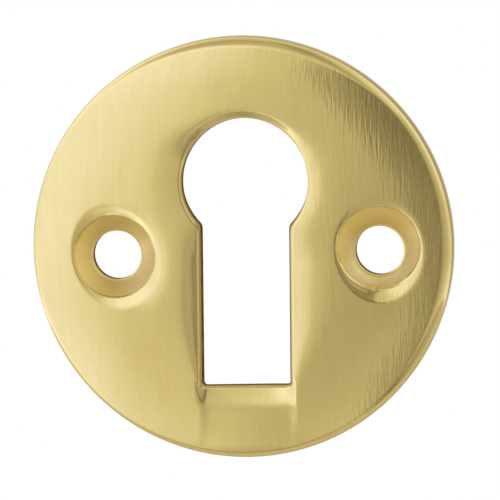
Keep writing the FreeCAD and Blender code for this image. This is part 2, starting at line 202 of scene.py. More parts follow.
def keyhole_distance(x, z):
    """The distance to the drawn outline: a circle, and a slot that runs on below its foot as the trough."""
    across, below = slot_place(x, z)
    from_round = np.hypot(x - ROUND_X, z - ROUND_Z) - ROUND_RADIUS
    beside = np.maximum(np.abs(across) - SLOT_HALF, 0.0)
    from_slot = np.where(below > 0, beside, np.hypot(beside, below))
    return np.maximum(soft_min(from_round, from_slot, NECK_SOFTNESS), 0.0)


def roll_over(x, z):
    """How far the sheet is drawn down: a slope times the soft ramp from the reach to the keyhole's edge."""
    on_slot = soft_step(-z, -ROLL_CHANGE[0], -ROLL_CHANGE[1])
    rho = np.hypot(x - ROUND_X, z - ROUND_Z) + TINY
    on_top = soft_step((z - ROUND_Z) / rho, *TOP_SINE)
    on_left = soft_step((ROUND_X - x) / rho, *LEFT_COSINE)
    on_right = soft_step(slot_place(x, z)[0], -SLOT_HALF, SLOT_HALF)
    shares = (
        (ROUND_ROLL, (1 - on_slot) * (1 - on_top) * (1 - on_left)),
        (TOP_ROLL, (1 - on_slot) * on_top),
        (LEFT_ROLL, (1 - on_slot) * (1 - on_top) * on_left),
        (SLOT_LEFT_ROLL, on_slot * (1 - on_right)),
        (SLOT_RIGHT_ROLL, on_slot * on_right),
    )
    slope, reach, softness = (sum(roll[key] * share for roll, share in shares) for key in TOP_ROLL)
    left = np.maximum(soft_step(z, ROLL_ENDS, ROLL_NARROWS), ROLL_LEAST)
    return slope * soft_ramp(keyhole_distance(x, z), reach * left, softness * left)


print("drawn down at the slot's left edge:", round(float(roll_over(np.array(-3.4), np.array(-3.0))), 3))

# %% [markdown]
# The trough.
# Below the slot the sheet is pressed into a shallow trough, which fades out towards the rim. At the slot's
# foot it falls more steeply, most at the right. At the left this fall ends in a small crease.

# %% The trough below the slot
TROUGH_X = 0.30
TROUGH_HALF = 3.66
TROUGH_LENGTH = 4.6
TROUGH_POWER = 8
TROUGH_DEPTH = 0.075
# how far above the slot's foot the trough begins, and where it has its full depth
TROUGH_START = (0.6, 0.05)
FOOT_SLOPE = 0.21
FOOT_REACH = 1.60
FOOT_SOFTNESS = 0.10
# the share of the slope in the middle of the foot, and what each millimetre to the right adds
FOOT_TWIST = (0.93, 0.12)
# how far to the left the fall starts to end and has ended, and how far to the right it ends
FOOT_LEFT = (3.00, 3.85)
FOOT_RIGHT = 3.85
FOOT_POWER = 5


def trough(x, z):
    """The trough's depth: a pan that fades towards the rim, and a steeper fall to the slot's foot."""
    down = FOOT_Z - z
    pan = TROUGH_DEPTH * np.clip(1 - down / TROUGH_LENGTH, 0.0, 1.0)
    pan = pan * (1 - np.clip(np.abs(x - TROUGH_X) / TROUGH_HALF, 0.0, 1.0) ** TROUGH_POWER)
    foot = FOOT_SLOPE * soft_ramp(down, FOOT_REACH, FOOT_SOFTNESS)
    foot = foot * (FOOT_TWIST[0] + FOOT_TWIST[1] * x)
    foot = foot * (1 - soft_step(-x, *FOOT_LEFT)) * (1 - np.clip(x / FOOT_RIGHT, 0.0, 1.0) ** FOOT_POWER)
    return (pan + foot) * soft_step(down, -TROUGH_START[0], -TROUGH_START[1])


def sheet_height(x, z):
    """The dome, drawn down round the keyhole and pressed into the trough, without the dishes."""
    return dome_height(x, z) - roll_over(x, z) - trough(x, z)


print("the trough's depth at the slot's foot:", round(float(trough(np.array(FOOT_X), np.array(FOOT_Z))), 3))

# %% [markdown]
# The screw dishes.
# The press pushes the sheet back in a softly walled oval, and then a countersink turns the cone for the
# screw's head. The steep ring at the cone's edge is that cutter's mark. The two steps are two functions here,
# and the front takes the lower of the two.

# %% The pressed wall and the countersink
# the least width of the pressed wall outside the cone
MOUTH_LEAST = 0.12
WALL_SPREAD = 5.0
WALL_SOFTNESS = 0.012
# the soft fall beside the mouth: the cosines where it begins and is full, its reach and its softness
BESIDE_COSINE = (0.15, 0.85)
BESIDE_REACH = 0.7
BESIDE_SOFTNESS = 0.175
RING_SLOPE = 1.9
RING_WIDTH = 0.09


def dish_outlines(x, z, dish):
    """Distance and angle from the hole's centre, and how far out the cone and the mouth end that way."""
    (centre_x, centre_z), (cone, cone_x, cone_z) = dish["hole"], dish["cone"]
    short, long, turn, mouth_x, mouth_z = dish["mouth"]
    rho = np.hypot(x - centre_x, z - centre_z)
    angle = np.arctan2(z - centre_z, x - centre_x)
    cosine, sine = np.cos(angle), np.sin(angle)
    cone_edge = cone + cone_x * cosine + cone_z * sine
    along = np.cos(angle - math.radians(turn))
    across = np.sin(angle - math.radians(turn))
    mouth_edge = 1 / np.hypot(across / short, along / long) + mouth_x * cosine + mouth_z * sine
    return rho, angle, cone_edge, np.maximum(mouth_edge, cone_edge + MOUTH_LEAST)


def pressed(x, z, dish):
    """The sheet less a wall inside the mouth, of limited depth, and less a soft fall beside it."""
    rho, angle, _, mouth_edge = dish_outlines(x, z, dish)
    degrees, *columns = np.array(dish["wall"]).T
    slope, soft, drop = (round_about(angle, degrees, column, WALL_SPREAD) for column in columns)
    wall = soft_min(slope * soft_ramp(rho, mouth_edge, soft), drop, WALL_SOFTNESS)
    side = soft_step(np.cos(angle), *BESIDE_COSINE)
    fall = dish["beside"] * side * soft_ramp(rho - mouth_edge, BESIDE_REACH, BESIDE_SOFTNESS)
    return sheet_height(x, z) - wall - fall


def countersink(x, z, dish):
    """The cone: straight from the bore to a steep narrow ring, which meets the pressed wall at its edge."""
    rho, angle, cone_edge, _ = dish_outlines(x, z, dish)
    centre_x, centre_z = dish["hole"]
    brim = pressed(centre_x + cone_edge * np.cos(angle), centre_z + cone_edge * np.sin(angle), dish)
    ring_foot = brim - RING_SLOPE * RING_WIDTH
    share = (rho - BORE_RADIUS) / (cone_edge - RING_WIDTH - BORE_RADIUS)
    cone = SEAT_HEIGHT + (ring_foot - SEAT_HEIGHT) * share
    return np.maximum(cone, brim + RING_SLOPE * (rho - cone_edge))


cone_right, mouth_right = dish_outlines(0.0, 0.0, DISHES["left"])[2:]
print("cone and mouth of the left dish end at:", round(float(cone_right), 2), round(float(mouth_right), 2))

# %% [markdown]
# The whole front and back.
# Pressing bends sheet but hardly thins it, so the back is the front's sheet one thickness lower.
# Behind each dish the metal is a cup that stands on the door, and keeps the screw from bending the plate. The
# Solidify modifier could give the thickness, but not the flat feet of the cups.

# %% The front and the back as heights over the door
DISH_REACH = 6.0
DISH_SOFTNESS = 0.05
CUP_FOOT = 2.6
CUP_SLOPE = 1.2
CUP_SOFTNESS = 0.4


def front_height(x, z):
    """The height of the whole front: the sheet, with both dishes pressed and cut into it."""
    height = sheet_height(x, z)
    for dish in DISHES.values():
        near = np.hypot(x - dish["hole"][0], z - dish["hole"][1]) < DISH_REACH
        cut = soft_min(pressed(x, z, dish), countersink(x, z, dish), DISH_SOFTNESS)
        height = np.where(near, cut, height)
    return height


def back_height(x, z):
    """The height of the back: the sheet one thickness lower, and each dish as a cup rising from its foot."""
    height = sheet_height(x, z) - THICKNESS
    for dish in DISHES.values():
        rho = np.hypot(x - dish["hole"][0], z - dish["hole"][1])
        height = soft_min(height, CUP_SLOPE * np.maximum(rho - CUP_FOOT, 0.0), CUP_SOFTNESS)
    return np.maximum(height, 0.0)


print("the front's height above the keyhole:", round(float(front_height(np.array(0.0), np.array(12.0))), 3))

# %% [markdown]
# The keyhole's outline.
# The punch left most of a circle above a slot, with small rounded necks and foot corners. Walking
# round it as a row of points lets each corner have as many as it needs, and the surfaces are spread from them.

# %% The keyhole's outline
ROUND_POINTS = 150
SIDE_POINTS = 90
FOOT_POINTS = 50
BEND_POINTS = 12


def arc_points(centre, radius, start, end, count):
    """Points on an arc about a centre, evenly turned from one angle to another, without the last."""
    angle = start + (end - start) * np.arange(count) / count
    return np.stack([centre[0] + radius * np.cos(angle), centre[1] + radius * np.sin(angle)], axis=1)


def line_points(start, end, count):
    """Points on a straight line, evenly spaced, without the last."""
    t = np.arange(count)[:, None] / count
    return np.asarray(start) * (1 - t) + np.asarray(end) * t


def keyhole_outline():
    """The closed outline, anticlockwise from the right neck: round end, left side, foot, right side."""
    along = np.array([math.sin(LEAN), math.cos(LEAN)])
    across = np.array([math.cos(LEAN), -math.sin(LEAN)])
    middle = np.array([ROUND_X, ROUND_Z])
    drop = math.sqrt((ROUND_RADIUS + NECK_RADIUS) ** 2 - (SLOT_HALF + NECK_RADIUS) ** 2)

    def angle_of(vector):
        return math.atan2(vector[1], vector[0])

    right_neck = middle - along * drop + across * (SLOT_HALF + NECK_RADIUS)
    left_neck = middle - along * drop - across * (SLOT_HALF + NECK_RADIUS)
    right_turn = angle_of(right_neck - middle)
    left_turn = angle_of(left_neck - middle) % (2 * math.pi)
    right_corner = middle + across * (SLOT_HALF - CORNER_RADIUS)
    left_corner = middle - across * (SLOT_HALF - CORNER_RADIUS)
    right_corner = right_corner - along * ((right_corner[1] - FOOT_Z - CORNER_RADIUS) / along[1])
    left_corner = left_corner - along * ((left_corner[1] - FOOT_Z - CORNER_RADIUS) / along[1])
    right_top = right_neck - across * NECK_RADIUS
    left_top = left_neck + across * NECK_RADIUS
    down = np.array([0.0, -CORNER_RADIUS])
    rows = [
        arc_points(middle, ROUND_RADIUS, right_turn, left_turn, ROUND_POINTS),
        arc_points(left_neck, NECK_RADIUS, left_turn - math.pi, -LEAN, BEND_POINTS),
        line_points(left_top, left_corner - across * CORNER_RADIUS, SIDE_POINTS),
        arc_points(left_corner, CORNER_RADIUS, math.pi - LEAN, 1.5 * math.pi, BEND_POINTS),
        line_points(left_corner + down, right_corner + down, FOOT_POINTS),
        arc_points(right_corner, CORNER_RADIUS, 1.5 * math.pi, 2 * math.pi - LEAN, BEND_POINTS),
        line_points(right_corner + across * CORNER_RADIUS, right_top, SIDE_POINTS),
        arc_points(right_neck, NECK_RADIUS, math.pi - LEAN, right_turn + math.pi, BEND_POINTS),
    ]
    return np.concatenate(rows)


def outward(points):
    """Unit normals of a closed outline that runs anticlockwise, pointing away from what it encloses."""
    step = np.roll(points, -1, axis=0) - np.roll(points, 1, axis=0)
    normal = np.stack([step[:, 1], -step[:, 0]], axis=1)
    return normal / np.linalg.norm(normal, axis=1, keepdims=True)


outline = keyhole_outline()
COUNT = len(outline)
print("outline points:", COUNT, "box:", outline.min(axis=0).round(2), outline.max(axis=0).round(2))

# %% [markdown]
# Joining grids into one mesh.
# The plate is built from grids that share their border points. Each is an array of points, and a
# table of vertex numbers of the same shape says which points its faces use. Where two grids meet, they have
# the same numbers, so the mesh is closed without merging doubles.

# %% A surface made of grids
class Surface:
    """Collects points, four-sided faces and the marks of the faces as arrays."""

    def __init__(self):
        self.points = []
        self.total = 0
        self.quads = []
        self.marks = []

    def add(self, points):
        """Stores an array of points, and gives back their vertex numbers in the array's own shape."""
        shape = points.shape[:-1]
        self.points.append(points.reshape(-1, 3))
        numbers = self.total + np.arange(math.prod(shape)).reshape(shape)
        self.total += numbers.size
        return numbers

    def skin(self, numbers, closed, flip, keep=None, mark=0):
        """Faces between neighbouring rows of numbers. A closed table joins its last column on."""
        right = np.roll(numbers, -1, axis=1) if closed else numbers[:, 1:]
        left = numbers if closed else numbers[:, :-1]
        quads = np.stack([left[:-1], right[:-1], right[1:], left[1:]], axis=-1)
        if keep is not None:
            quads = quads[keep]
        quads = quads.reshape(-1, 4)
        self.quads.append(quads if flip else quads[:, ::-1])
        self.marks.append(np.full(len(quads), mark))


def place(x, z, height):
    """Points in the frame's order x, y, z, from a place on the door and a height over it."""
    return np.stack([x, -height, z], axis=-1)


# %% [markdown]
# The grids between the keyhole and the rim.
# Straight rays run from a middle point through the keyhole's outline to the rim. They never
# cross, because the whole keyhole can be seen from that point. Round each screw dish a window is left out, and
# a round grid fills it: its outermost ring is the window's border, its inner rings are circles about the hole.

# %% Rays, windows and rings
STAR = np.array([0.3, 0.0])
LIP = 0.20
SHEARED = 1
ROWS = 64
WINDOW_HALF = 0.56
WINDOW_ROWS = (7, 62)


def ray_ends(points, radius):
    """Where rays from the middle point through some points reach circles about the disc's centre."""
    way = points - STAR
    way = way / np.linalg.norm(way, axis=1, keepdims=True)
    lean = way @ STAR
    reach = -lean + np.sqrt(lean**2 - STAR @ STAR + radius**2)
    return STAR + way * reach[:, None]


def window_columns(side):
    """The first column and the number of columns of the window round one dish."""
    centre_x, centre_z = DISHES[side]["hole"]
    middle = math.atan2(centre_z - STAR[1], centre_x - STAR[0])
    way = outline - STAR
    turn = np.arctan2(way[:, 1], way[:, 0]) - middle
    inside = np.abs((turn + math.pi) % (2 * math.pi) - math.pi) < WINDOW_HALF
    first = int(np.flatnonzero(inside & ~np.roll(inside, 1))[0])
    return first, int(inside.sum())


WINDOWS = {side: window_columns(side) for side in DISHES}
print("window columns:", WINDOWS)


def fan(surface, inner, outer, spread, height, flip):
    """The grid along the rays, without its windows: rows run from inner to outer as spread says."""
    x, z = (inner[None] + (outer - inner)[None] * spread[:, None, None]).transpose(2, 0, 1)
    numbers = surface.add(place(x, z, height(x, z)))
    keep = np.ones((len(spread) - 1, COUNT), dtype=bool)
    low, high = WINDOW_ROWS
    for first, count in WINDOWS.values():
        columns = np.arange(first, first + count - 1) % COUNT
        keep[low:high, columns] = False
    surface.skin(numbers, True, flip, keep)
    return numbers, np.stack([x, z], axis=-1)


def window_border(numbers, places, side):
    """The window's border once round, as vertex numbers and places, turning as the fan's columns do."""
    low, high = WINDOW_ROWS
    first, count = WINDOWS[side]
    columns = np.arange(first, first + count) % COUNT
    rows = np.arange(low, high + 1)
    pairs = np.concatenate(
        [
            np.stack([np.full(count, high), columns], axis=1)[:-1],
            np.stack([rows[::-1], np.full(rows.size, columns[-1])], axis=1)[:-1],
            np.stack([np.full(count, low), columns[::-1]], axis=1)[:-1],
            np.stack([rows, np.full(rows.size, columns[0])], axis=1)[:-1],
        ]
    )
    return numbers[pairs[:, 0], pairs[:, 1]], places[pairs[:, 0], pairs[:, 1]]


def dish_rings(surface, border_numbers, border_places, dish, radii, blend_rows, height, flip):
    """Circles about the screw hole, then rows that turn from a circle into the window's border."""
    centre = np.array(dish["hole"])
    way = border_places - centre
    way = way / np.linalg.norm(way, axis=1, keepdims=True)
    circles = centre + way[None] * radii[:, None, None]
    share = np.arange(1, blend_rows)[:, None, None] / blend_rows
    blends = circles[-1][None] * (1 - share) + border_places[None] * share
    x, z = np.concatenate([circles, blends]).transpose(2, 0, 1)
    numbers = surface.add(place(x, z, height(x, z)))
    surface.skin(np.concatenate([numbers, border_numbers[None]]), True, flip)
    return numbers[0], way


# %% [markdown]
# Rings that carry a profile round an outline.
# The rolled rim, the punched wall of the keyhole and the bores are profiles carried round a closed line: at
# each point of the line the profile says how far to step outwards and how high to stand. The roll is wider
# at the top and at the right of the plate than at its lower left, as the photographed plate was brushed
# down more on that side.

# %% Rim, wall and bores
ROLL_WIDTHS = (
    # degrees round the rim from the right, and the roll's radius
    (0, 0.80), (20, 0.60), (35, 0.52), (45, 0.55), (60, 0.74), (75, 0.78), (90, 0.82), (105, 0.70),
    (120, 0.48), (135, 0.34), (180, 0.30), (240, 0.30), (270, 0.40), (285, 0.42), (300, 0.50), (315, 0.60),
    (330, 0.84), (345, 0.86),
)
ROLL_SPREAD = 6.0
# the tilt at which the roll takes over from the dome
ROLL_START = math.radians(6.5)
BACK_ROLL = 0.5
SEAT_ROUND = 0.10
BORE_LIP = 0.05
TAPER_ROUND = 0.07
TAPER_SLOT = 0.21
TAPER_CHANGE = (4.5, 1.0)
LIP_STEPS = 5
WALL_STEPS = 5
# how many steps of the keyhole's wall the punch has rubbed smooth, before the sheet tore
BURNISHED = 6


def roll_width(angle):
    """The roll's radius round the rim."""
    degrees, widths = np.array(ROLL_WIDTHS).T
    return round_about(angle, degrees, widths, ROLL_SPREAD)


def rim_profile(angle, start_height, back_start_height):
    """Rings of radius and height from the dome's edge over the roll and the seat up to the inner sheet."""
    roll = roll_width(angle)
    start = ROLL_START
    rings = []
    for turn in np.linspace(start, math.pi / 2, 11)[1:]:
        radius = DISC_RADIUS - roll + roll * (math.sin(turn) - math.sin(start)) / (1 - math.sin(start))
        rings.append((radius, start_height - roll * (math.cos(start) - math.cos(turn))))
    wall_top = rings[-1][1]
    for share in (0.25, 0.5, 0.75):
        rings.append((np.full_like(angle, DISC_RADIUS), wall_top + (SEAT_ROUND - wall_top) * share))
    for turn in np.linspace(0, math.pi / 2, 5):
        radius = DISC_RADIUS - SEAT_ROUND * (1 - math.cos(turn))
        rings.append((np.full_like(angle, radius), np.full_like(angle, SEAT_ROUND * (1 - math.sin(turn)))))
    inner = DISC_RADIUS - THICKNESS
    for turn in np.linspace(0, math.pi / 2, 4):
        radius = inner + SEAT_ROUND * (1 - math.sin(turn))
        rings.append((np.full_like(angle, radius), np.full_like(angle, SEAT_ROUND * (1 - math.cos(turn)))))
    roll_foot = back_start_height - BACK_ROLL
    for share in (0.5, 1.0):
        rings.append((np.full_like(angle, inner), SEAT_ROUND + (roll_foot - SEAT_ROUND) * share))
    for turn in np.linspace(0, math.pi / 2, 6)[1:-1]:
        radius = inner - BACK_ROLL * (1 - math.cos(turn))
        rings.append((np.full_like(angle, radius), roll_foot + BACK_ROLL * math.sin(turn)))
    return rings


def wall_profile(lip, front, back, taper):
    """Steps outwards and heights, over the rounded front edge and down the wall, closing in by taper."""
    steps = []
    for turn in np.linspace(0, math.pi / 2, LIP_STEPS + 1)[1:]:
        steps.append((lip * (1 - math.sin(turn)), front - lip * (1 - math.cos(turn))))
    for share in np.arange(1, WALL_STEPS + 1) / WALL_STEPS:
        steps.append((-taper * share, (front - lip) * (1 - share) + (back + lip / 2) * share))
    return steps


print("the roll is", min(width for _, width in ROLL_WIDTHS), "to", max(width for _, width in ROLL_WIDTHS))

# %% [markdown]
# The front and the back.
# Both skins of the sheet are fans of rays from the keyhole's edge to where the rim begins to
# roll over. The width of the roll has to be known first, for it says how far each ray runs.

# %% The front and the back
FIRST_ROLL = 0.5
surface = Surface()
normal = outward(outline)
lip_line = outline + normal * LIP

# a first guess of the rolls gives each ray's direction, and so the roll that it really meets
outer_line = ray_ends(lip_line, DISC_RADIUS - FIRST_ROLL)
rim_angle = np.arctan2(outer_line[:, 1], outer_line[:, 0])
outer_line = ray_ends(lip_line, DISC_RADIUS - roll_width(rim_angle))
rim_angle = np.arctan2(outer_line[:, 1], outer_line[:, 0])
back_line = ray_ends(lip_line, np.full(COUNT, DISC_RADIUS - THICKNESS - BACK_ROLL))

spread = np.linspace(0, 1, ROWS + 1)
front_numbers, front_places = fan(surface, lip_line, outer_line, spread, front_height, False)
back_numbers, back_places = fan(surface, lip_line, back_line, spread, back_height, True)

print("rays:", COUNT, "rows:", ROWS)

# %% [markdown]
# The dishes and their bores.
# Each dish ends in a straight bore for the screw. Rings about the bore follow the cone exactly,
# which a grid of squares would not, and the last ones spread into the window's border.

# %% The dishes and their bores
# rings inside the cone, as steps from the bore, and rings across the cone's edge and the mouth
CONE_STEPS = np.array([BORE_LIP, 0.2, 0.4, 0.6, 0.8, 0.95])
FRONT_RADII = np.concatenate([CONE_STEPS + BORE_RADIUS, np.linspace(2.95, 4.2, 28)])
BACK_RADII = np.concatenate([[BORE_RADIUS + BORE_LIP], np.linspace(2.1, 3.5, 12)])
FRONT_BLENDS = 6
BACK_BLENDS = 3
for side, dish in DISHES.items():
    border, border_places = window_border(front_numbers, front_places, side)
    front_ring, way = dish_rings(
        surface, border, border_places, dish, FRONT_RADII, FRONT_BLENDS, front_height, False
    )
    back_border, back_border_places = window_border(back_numbers, back_places, side)
    back_ring, back_way = dish_rings(
        surface, back_border, back_border_places, dish, BACK_RADII, BACK_BLENDS, back_height, True
    )
    front_rim = front_height(*(np.array(dish["hole"]) + way * (BORE_RADIUS + BORE_LIP)).T)
    bore = []
    for row, (step, height) in enumerate(wall_profile(BORE_LIP, front_rim, np.zeros(len(way)), 0.0)):
        share = (row + 1) / (LIP_STEPS + WALL_STEPS)
        turned = way * (1 - share) + back_way * share
        turned = turned / np.linalg.norm(turned, axis=1, keepdims=True)
        x, z = (np.array(dish["hole"]) + turned * (BORE_RADIUS + step)).T
        bore.append(surface.add(place(x, z, height)))
    surface.skin(np.stack([front_ring, *bore[:LIP_STEPS]]), True, True)
    surface.skin(np.stack([*bore[LIP_STEPS - 1 :], back_ring]), True, True, mark=SHEARED)

print("points so far:", surface.total)

# %% [markdown]
# The punched wall and the rim.
# The punch rubs the first part of its wall smooth and tears the rest. Wall and rim are profiles
# that start and end on the fans' own border points, so the plate closes without a seam.

# %% The punched wall and the rim
front_edge = front_height(*lip_line.T)
back_edge = back_height(*lip_line.T)
on_side = soft_step(-outline[:, 1], -TAPER_CHANGE[0], -TAPER_CHANGE[1]) * np.abs(normal[:, 0])
taper = TAPER_ROUND + (TAPER_SLOT - TAPER_ROUND) * on_side
wall = [
    surface.add(place(*(outline + normal * np.reshape(step, (-1, 1))).T, height))
    for step, height in wall_profile(LIP, front_edge, back_edge, taper)
]
surface.skin(np.stack([front_numbers[0], *wall[: BURNISHED + 1]]), True, True)
surface.skin(np.stack([*wall[BURNISHED:], back_numbers[0]]), True, True, mark=SHEARED)

rim = [
    surface.add(place(radius * np.cos(rim_angle), radius * np.sin(rim_angle), height))
    for radius, height in rim_profile(rim_angle, front_height(*outer_line.T), back_height(*back_line.T))
]
surface.skin(np.stack([front_numbers[-1], *rim, back_numbers[-1]]), True, False)

points = np.concatenate(surface.points)
quads = np.concatenate(surface.quads)
marks = np.concatenate(surface.marks)
print("points:", len(points), "faces:", len(quads))

# %% [markdown]
# The piece and its marks.
# The cones were turned after the brushing. The rim's outer edge and the keyhole's wall get painted shade.
# A number at each vertex says this to the material. A painted image would need a map of the surface.

# %% Put the arrays into a Blender mesh
TURNED_EDGE = 0.12
# the lowest height that the countersink's cutter reached
TURNED_LOWEST = 0.3
# the band of painted shade at the rim's outermost edge, the painted shade on the keyhole's wall, and its reach
RIM_EDGE = (0.08, 0.01)
WALL_SHADE = 1.0
WALL_REACH = 0.01


def painted_edge_shade_mark(x, z):
    """Painted shade: one at the rim's outermost edge, WALL_SHADE on the keyhole's wall, nought on the face."""
    on_rim = soft_step(np.hypot(x, z), DISC_RADIUS - RIM_EDGE[0], DISC_RADIUS - RIM_EDGE[1])
    on_wall = (keyhole_distance(x, z) < WALL_REACH) & (z > FOOT_Z - WALL_REACH)
    return np.maximum(on_rim, WALL_SHADE * on_wall)


def turned_mark(x, z, height):
    """One in the cones, which a countersink has turned, falling to nought at their rims."""
    mark = np.zeros_like(x)
    for dish in DISHES.values():
        rho, _, cone_edge, _ = dish_outlines(x, z, dish)
        mark = np.maximum(mark, 1 - soft_step(rho - cone_edge, -TURNED_EDGE, 0.0))
    return mark * (height > TURNED_LOWEST)


def make_mesh(name, points, quads, marks):
    """A mesh object from points in millimetres, faces and each face's material. Unused points go."""
    used = np.unique(quads)
    renumber = np.zeros(len(points), dtype=int)
    renumber[used] = np.arange(used.size)
    mesh = bpy.data.meshes.new(name)
    mesh.from_pydata(points[used] * MM, [], renumber[quads].tolist())
    mesh.polygons.foreach_set("use_smooth", np.ones(len(quads), dtype=bool))
    mesh.polygons.foreach_set("material_index", marks)
    x, depth, z = points[used].T
    # the edge attribute carries painted shade for the rim's outermost edge and the keyhole's wall
    for mark, worth in (("turned", turned_mark(x, z, -depth)), ("edge", painted_edge_shade_mark(x, z))):
        attribute = mesh.attributes.new(mark, "FLOAT", "POINT")
        attribute.data.foreach_set("value", worth.astype(np.float32))
    mesh.update()
    piece = bpy.data.objects.new(name, mesh)
    bpy.context.scene.collection.objects.link(piece)
    return piece


plate = make_mesh("brass_plate", points, quads, marks)
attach(plate, "root")
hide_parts("escutcheon_plate")
print("vertices of the piece:", len(plate.data.vertices))

# %% [markdown]
# Helpers for node trees.
# Materials and the world are trees of small nodes. Short functions keep their making readable:
# one adds a node with its settings, and others add a step of arithmetic and give its result back.

# %% Helpers for node trees
def node(tree, kind, **settings):
    """A new node in a tree, with its settings."""
    made = tree.nodes.new(kind)
    for name, value in settings.items():
        setattr(made, name, value)
    return made


def join(tree, value, socket):
    """Links an output to an input, or sets the input to a number or a colour."""
    if isinstance(value, bpy.types.NodeSocket):
        tree.links.new(value, socket)
    else:
        socket.default_value = value


def math_node(tree, operation, first, second=None, third=None):
    """A Math node. Each input is a socket to link or a number to set. Gives its output back."""
    made = node(tree, "ShaderNodeMath", operation=operation)
    for socket, value in zip(made.inputs, (first, second, third)):
        if value is not None:
            join(tree, value, socket)
    return made.outputs[0]


def noise(tree, vector, scale, detail, roughness=0.5):
    """A noise texture read at a vector, as values about one half."""
    made = node(tree, "ShaderNodeTexNoise")
    join(tree, vector, made.inputs["Vector"])
    made.inputs["Scale"].default_value = scale
    made.inputs["Detail"].default_value = detail
    made.inputs["Roughness"].default_value = roughness
    return made.outputs["Fac"]


def stretch(tree, vector, scale):
    """The vector with each axis scaled by its own number."""
    made = node(tree, "ShaderNodeMapping")
    join(tree, vector, made.inputs["Vector"])
    made.inputs["Scale"].default_value = scale
    return made.outputs[0]


def between(tree, value, low, high, to_low=0.0, to_high=1.0):
    """Carries a range of values over to another range, and stops at its ends."""
    made = node(tree, "ShaderNodeMapRange", interpolation_type="SMOOTHSTEP")
    for socket, number in zip(made.inputs, (value, low, high, to_low, to_high)):
        join(tree, number, socket)
    return made.outputs[0]


def blend(tree, factor, first, second, kind="MIX"):
    """A colour mixed from two colours, which the Mix node takes at its inputs 6 and 7."""
    made = node(tree, "ShaderNodeMix", data_type="RGBA", blend_type=kind)
    sockets = (made.inputs["Factor"], made.inputs[6], made.inputs[7])
    for socket, value in zip(sockets, (factor, first, second)):
        join(tree, value, socket)
    return made.outputs[2]


# %% [markdown]
# The marks of the brush.
# The plate was brushed upright with a fine belt, so its grain is long thin scratches along Z that differ
# quickly along X. Noise that is squeezed along X gives such lines at any size without an image. The group
# gives them as a height for a Bump node, as a shade for the colour, and as faint stains where the sheet has
# been handled.

# %% Brushed grain as a node group
FINE_GRAIN = 7600.0
WIDE_GRAIN = 2900.0
FINE_ROUGHNESS = 0.35
SHADE_RANGE = (0.7, 1.3)
STAIN_SCALE = 420.0
STAIN_STRETCH = (1.0, 1.0, 0.35)
STAIN_RANGE = (0.52, 0.78)
grain = bpy.data.node_groups.new("brushed_grain", "ShaderNodeTree")
grain.interface.new_socket("Length", in_out="INPUT", socket_type="NodeSocketFloat")
for output in ("Height", "Shade", "Stain"):
    grain.interface.new_socket(output, in_out="OUTPUT", socket_type="NodeSocketFloat")
group_in = node(grain, "NodeGroupInput")
group_out = node(grain, "NodeGroupOutput")
where = node(grain, "ShaderNodeTexCoord").outputs["Object"]
squeezed = node(grain, "ShaderNodeSeparateXYZ")
join(grain, where, squeezed.inputs[0])
along = math_node(grain, "DIVIDE", squeezed.outputs["Z"], group_in.outputs["Length"])
lines = node(grain, "ShaderNodeCombineXYZ")
join(grain, squeezed.outputs["X"], lines.inputs["X"])
join(grain, squeezed.outputs["Y"], lines.inputs["Y"])
join(grain, along, lines.inputs["Z"])
fine = noise(grain, lines.outputs[0], FINE_GRAIN, 1.0, FINE_ROUGHNESS)
wide = noise(grain, lines.outputs[0], WIDE_GRAIN, 1.0)
fine_half = math_node(grain, "MULTIPLY", fine, 0.5)
height = math_node(grain, "ADD", fine_half, math_node(grain, "MULTIPLY", wide, 0.5))
finest = noise(grain, lines.outputs[0], 2 * FINE_GRAIN, 3.0)
shade = between(grain, math_node(grain, "ADD", finest, wide), *SHADE_RANGE)
blotches = noise(grain, stretch(grain, where, STAIN_STRETCH), STAIN_SCALE, 3.0)
stain = between(grain, blotches, *STAIN_RANGE)
join(grain, height, group_out.inputs["Height"])
join(grain, shade, group_out.inputs["Shade"])
join(grain, stain, group_out.inputs["Stain"])
print("nodes of the grain:", len(grain.nodes))

# %% [markdown]
# Satin brass.
# Brass is a metal, so its colour is the colour of its reflections, and its roughness says how soft they
# are. Upright scratches spread a reflection sideways, which the Bump node does here, because each scratch
# can be seen. The belt bit deeper towards the plate's right. The countersunk cones were cut after the
# brushing, and are duller and warmer, so a mark on the mesh turns them to their own roughness and colour.
# Another mark paints shade onto the rim's outermost edge and the smooth part of the keyhole's wall, a dark
# brown that stands in for the dark they reflect.

# %% Satin brass
BRASS = (0.88, 0.735, 0.335, 1)
BRASS_DARK = (0.855, 0.705, 0.315, 1)
STAINED = (0.80, 0.62, 0.27, 1)
CONE_BRASS = (0.99, 0.82, 0.39, 1)
# painted shade: the dark brown of the rim's outermost edge and the keyhole's smooth wall
PAINTED_EDGE_SHADE = (0.42, 0.325, 0.15, 1)
EDGE_TINT = (0.70, 0.55, 0.33, 1)
GRAIN_LENGTH = 11.0
GRAIN_DEPTH = 8e-6
# how deep the belt bit, and between which places from left to right
BITE = (0.25, 1.0)
BITE_PLACES = (-2 * MM, 11 * MM)
STAIN_SHARE = 0.5
# the roughness in the grain's dark and bright lines, and what turning adds
ROUGHNESS = (0.075, 0.055)
TURNED_ROUGHNESS = 0.33


def scratch(tree, shader, height):
    """Tilts the shader's normal by the slope of a height, through a Bump node as deep as the grain."""
    bump = node(tree, "ShaderNodeBump")
    bump.inputs["Strength"].default_value = 1.0
    bump.inputs["Distance"].default_value = GRAIN_DEPTH
    join(tree, height, bump.inputs["Height"])
    join(tree, bump.outputs[0], shader.inputs["Normal"])


